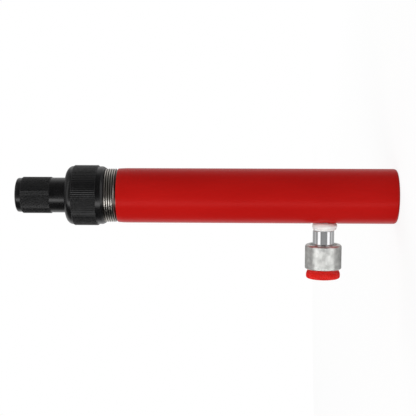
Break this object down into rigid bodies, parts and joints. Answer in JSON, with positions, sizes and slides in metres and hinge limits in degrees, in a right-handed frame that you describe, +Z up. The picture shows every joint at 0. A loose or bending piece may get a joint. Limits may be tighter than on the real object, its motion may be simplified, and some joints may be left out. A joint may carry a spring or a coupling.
{
  "type": "hydraulic lift cylinder",
  "caption": "Small single-acting lift cylinder: red barrel with a collar thread and ring, spring-return plunger with a knurled cap, and a side oil coupler with a dust plug.",
  "frame": {"origin": "centre of the flat base face of the barrel", "axes": "+Z up the axis of the barrel to the load face; the oil coupler points along -Y"},
  "size_m": [0.043, 0.0802, 0.27],
  "materials": {
    "red_paint": "semi-gloss red enamel",
    "black_oxide": "satin black oxide",
    "chrome": "bright chrome plate",
    "satin_steel": "satin zinc plate, knurled",
    "plain_steel": "machined steel",
    "spring_steel": "oiled spring steel",
    "red_plastic": "moulded red plastic",
    "white_ptfe": "white thread seal",
    "rubber": "black nitrile rubber",
    "bearing_plastic": "filled bearing plastic"
  },
  "bodies": {
    "barrel": {"barrel": "red_paint", "head_bushing": "plain_steel", "rod_wiper": "rubber", "bushing_bearing": "bearing_plastic", "lower_spring_anchor": "plain_steel", "return_spring": "spring_steel", "thread_seal": "white_ptfe", "coupler_stem": "chrome", "nose_ring": "rubber", "valve_seat": "plain_steel", "valve_spring": "spring_steel", "sleeve_clip": "spring_steel"},
    "plunger": {"plunger": "chrome", "retainer_snap_ring": "spring_steel", "seal_retainer": "plain_steel", "piston_seal": "rubber", "backup_ring": "bearing_plastic", "piston_wear_ring": "bearing_plastic", "upper_spring_anchor": "plain_steel", "anchor_nut": "plain_steel"},
    "plunger_cap": {"plunger_cap": "black_oxide"},
    "thread_ring": {"thread_ring": "black_oxide"},
    "coupler_sleeve": {"coupler_sleeve": "satin_steel"},
    "dust_plug": {"dust_plug": "red_plastic"},
    "check_ball": {"check_ball": "chrome"}
  },
  "joints": [
    {"name": "plunger_slide", "type": "slide", "parent": "barrel", "child": "plunger", "axis": [0, 0, 1], "range_m": [0, 0.12], "stiffness_N_per_m": 2400, "springref_m": -0.065, "deforming": ["return_spring"]},
    {"name": "cap_slide", "type": "slide", "parent": "plunger", "child": "plunger_cap", "axis": [0, 0, 1], "range_m": [0, 0.03]},
    {"name": "thread_ring_slide", "type": "slide", "parent": "barrel", "child": "thread_ring", "axis": [0, 0, 1], "range_m": [0, 0.075]},
    {"name": "coupler_sleeve_turn", "type": "hinge", "parent": "barrel", "child": "coupler_sleeve", "pos_m": [0, -0.043, 0.051], "axis": [0, -1, 0], "range_deg": [0, 1800]},
    {"name": "dust_plug_slide", "type": "slide", "parent": "barrel", "child": "dust_plug", "axis": [0, -1, 0], "range_m": [0, 0.0095]},
    {"name": "check_ball_slide", "type": "slide", "parent": "barrel", "child": "check_ball", "axis": [0, 1, 0], "range_m": [0, 0.002], "stiffness_N_per_m": 400, "springref_m": -0.004, "deforming": ["valve_spring"]}
  ],
  "couplings": [
    {"joint": "dust_plug_slide", "follows": "coupler_sleeve_turn", "m_per_rad": 0.00028875}
  ]
}
